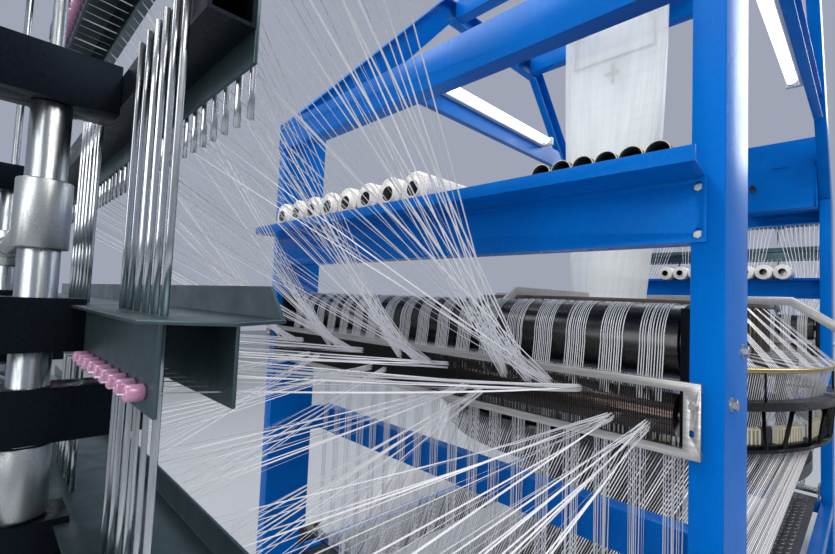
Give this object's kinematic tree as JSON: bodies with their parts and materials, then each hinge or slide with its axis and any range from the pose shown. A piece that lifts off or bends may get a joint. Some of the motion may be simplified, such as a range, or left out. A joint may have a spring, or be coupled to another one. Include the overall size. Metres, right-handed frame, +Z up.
{
  "type": "circular power loom",
  "caption": "Circular loom: blue portal frame and tower, warp combs and feed rollers, round weaving unit, take-up rollers, and a warp guide stand at each end.",
  "frame": {"origin": "on the floor under the centre of the weaving ring, which is the middle of the machine", "axes": "+X along the warp combs, +Y from the near portal to the far one, +Z up"},
  "size_m": [1.5922, 4.132, 3.1249],
  "materials": {
    "blue_powder_coat": "azure powder coat with a fine orange peel",
    "black_paint": "satin black paint",
    "bed_paint": "dark machine enamel on cast iron",
    "motor_paint": "blue machine enamel",
    "comb_aluminium": "brushed aluminium",
    "dark_wire": "dark spring steel wire",
    "bright_steel": "bright ground steel",
    "cast_clamp": "cast clamp metal",
    "roller_rubber": "satin black rubber cover",
    "bronze_roller": "dark burnished steel",
    "gold_ring": "polished brass",
    "galvanised": "galvanised sheet",
    "eyelet_ceramic": "glazed pink ceramic",
    "tape_film": "translucent white drawn tape",
    "woven_cloth": "translucent woven tape cloth",
    "bobbin_tape": "wound white tape",
    "black_tube": "black moulded tube",
    "heald_cream": "cream moulded plastic",
    "reed_brown": "brown reed wire",
    "guard_aluminium": "satin aluminium plate",
    "lamp_glass": "white coated lamp glass",
    "lamp_fitting": "white enamel",
    "tread_steel": "black tread plate worn at its edges",
    "shuttle_body": "moulded shuttle body"
  },
  "bodies": {
    "root": {"near_left_post": "blue_powder_coat", "near_right_post": "blue_powder_coat", "far_left_post": "blue_powder_coat", "far_right_post": "blue_powder_coat", "near_top_beam": "blue_powder_coat", "far_top_beam": "blue_powder_coat", "near_bobbin_shelf": "blue_powder_coat", "far_bobbin_shelf": "blue_powder_coat", "foot_beams": "blue_powder_coat", "side_rails": "blue_powder_coat", "cross_rails": "blue_powder_coat", "walkway_treads": "tread_steel", "left_side_frame": "blue_powder_coat", "right_side_frame": "blue_powder_coat", "lamp_beams": "blue_powder_coat", "tower_cross_beams": "blue_powder_coat", "lamp_tubes": "lamp_glass", "lamp_holders": "lamp_fitting", "electrical_box": "motor_paint", "near_warp_comb": "comb_aluminium", "far_warp_comb": "comb_aluminium", "comb_wires": "dark_wire", "bearing_plates": "bright_steel", "tape_bundles": "tape_film", "floor_bars": "bright_steel", "warp_tapes": "tape_film", "rising_tapes": "tape_film", "shed_tapes": "tape_film", "weft_bobbins": "bobbin_tape", "empty_tubes": "black_tube", "stand_pipes": "bright_steel", "pipe_clamps": "cast_clamp", "stand_arms": "black_paint", "guide_rails": "black_paint", "eyelet_rails": "galvanised", "eyelets": "eyelet_ceramic", "drop_wires": "bright_steel", "machine_bed": "bed_paint", "gear_motor": "motor_paint", "shuttle_race": "bed_paint", "tape_ring": "gold_ring", "heald_basket": "black_paint", "heald_combs": "heald_cream", "reed_cylinder": "reed_brown", "ring_bridge": "guard_aluminium", "weaving_ring": "guard_aluminium", "cloth_tube": "woven_cloth", "cloth_spreader": "black_tube", "take_up_frame": "blue_powder_coat"},
    "rotor": {"main_shaft": "bright_steel", "shuttles": "shuttle_body"},
    "near_feed": {"near_feed_roller": "roller_rubber"},
    "near_press": {"near_press_roller": "bronze_roller"},
    "far_feed": {"far_feed_roller": "roller_rubber"},
    "far_press": {"far_press_roller": "bronze_roller"},
    "nip_front": {"nip_roller_front": "roller_rubber"},
    "nip_back": {"nip_roller_back": "roller_rubber"},
    "roll": {"cloth_roll": "woven_cloth"},
    "door": {"box_door": "motor_paint"},
    "latch": {"door_handle": "black_tube"}
  },
  "joints": [
    {"name": "rotor_spin", "type": "hinge", "parent": "root", "child": "rotor", "pos_m": [0, 0, 0.85], "axis": [0, 0, 1], "continuous": true},
    {"name": "near_feed_spin", "type": "hinge", "parent": "root", "child": "near_feed", "pos_m": [0, -1.15, 1.179], "axis": [1, 0, 0], "continuous": true},
    {"name": "near_press_spin", "type": "hinge", "parent": "root", "child": "near_press", "pos_m": [0, -1.2, 1.062], "axis": [1, 0, 0], "continuous": true},
    {"name": "far_feed_spin", "type": "hinge", "parent": "root", "child": "far_feed", "pos_m": [0, 1.15, 1.179], "axis": [1, 0, 0], "continuous": true},
    {"name": "far_press_spin", "type": "hinge", "parent": "root", "child": "far_press", "pos_m": [0, 1.2, 1.062], "axis": [1, 0, 0], "continuous": true},
    {"name": "nip_front_spin", "type": "hinge", "parent": "root", "child": "nip_front", "pos_m": [0, -0.047, 2.85], "axis": [1, 0, 0], "continuous": true},
    {"name": "nip_back_spin", "type": "hinge", "parent": "root", "child": "nip_back", "pos_m": [0, 0.047, 2.85], "axis": [1, 0, 0], "continuous": true},
    {"name": "roll_spin", "type": "hinge", "parent": "root", "child": "roll", "pos_m": [0, 0.107, 3.02], "axis": [1, 0, 0], "continuous": true},
    {"name": "door_swing", "type": "hinge", "parent": "root", "child": "door", "pos_m": [0.636, 1.059, 1.931], "axis": [0, 0, 1], "range_deg": [0, 80]},
    {"name": "latch_turn", "type": "hinge", "parent": "door", "child": "latch", "pos_m": [0.364, 1.063, 1.941], "axis": [0, -1, 0], "range_deg": [0, 90]}
  ],
  "couplings": [
    {"joint": "near_feed_spin", "follows": "rotor_spin", "ratio": -0.03673},
    {"joint": "near_press_spin", "follows": "rotor_spin", "ratio": 0.06821},
    {"joint": "far_feed_spin", "follows": "rotor_spin", "ratio": 0.03673},
    {"joint": "far_press_spin", "follows": "rotor_spin", "ratio": -0.06821},
    {"joint": "nip_front_spin", "follows": "rotor_spin", "ratio": 0.05305},
    {"joint": "nip_back_spin", "follows": "rotor_spin", "ratio": -0.05305},
    {"joint": "roll_spin", "follows": "rotor_spin", "ratio": -0.02274}
  ]
}
